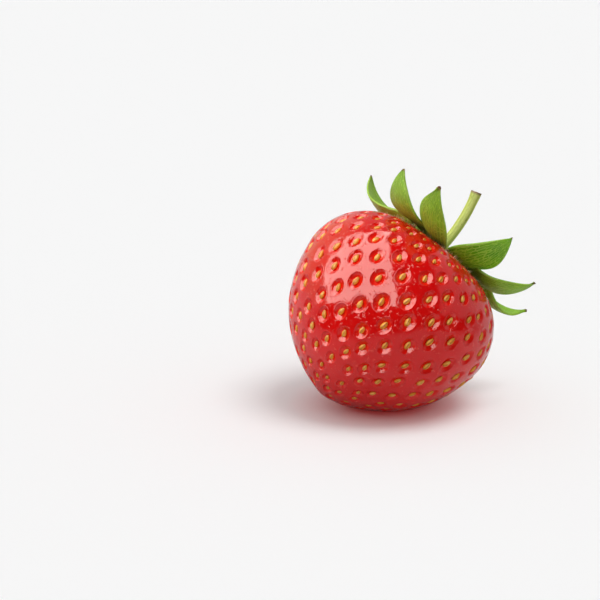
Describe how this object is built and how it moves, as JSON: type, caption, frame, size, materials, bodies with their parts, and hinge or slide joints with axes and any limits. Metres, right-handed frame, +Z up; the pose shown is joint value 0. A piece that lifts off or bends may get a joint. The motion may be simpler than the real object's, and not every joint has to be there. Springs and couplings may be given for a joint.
{
  "type": "strawberry",
  "caption": "Ripe strawberry lying on its side at rest, with a crown of curled green sepals and a short cut stalk",
  "frame": {"origin": "middle of the small flat spot on the flank that the fruit rests on, in the plane it stands on", "axes": "+Z up; the stalk leans 44 degrees from +Z towards +X, turned 24 degrees on towards +Y; the tip points down towards -X"},
  "size_m": [0.032, 0.0299, 0.0318],
  "materials": {
    "flesh": "glossy ripe red skin, pitted, with straw-yellow seeds",
    "sepal": "satin leaf green with fine veins and paler rims",
    "calyx": "matte pale green",
    "stalk": "satin pale yellow-green with a browned cut end"
  },
  "bodies": {
    "root": {"fruit": "flesh", "calyx_cap": "calyx", "stalk": "stalk", "sepal_1": "sepal", "sepal_2": "sepal", "sepal_3": "sepal", "sepal_4": "sepal", "sepal_5": "sepal", "sepal_6": "sepal", "sepal_7": "sepal", "sepal_8": "sepal", "sepal_9": "sepal"}
  },
  "joints": []
}
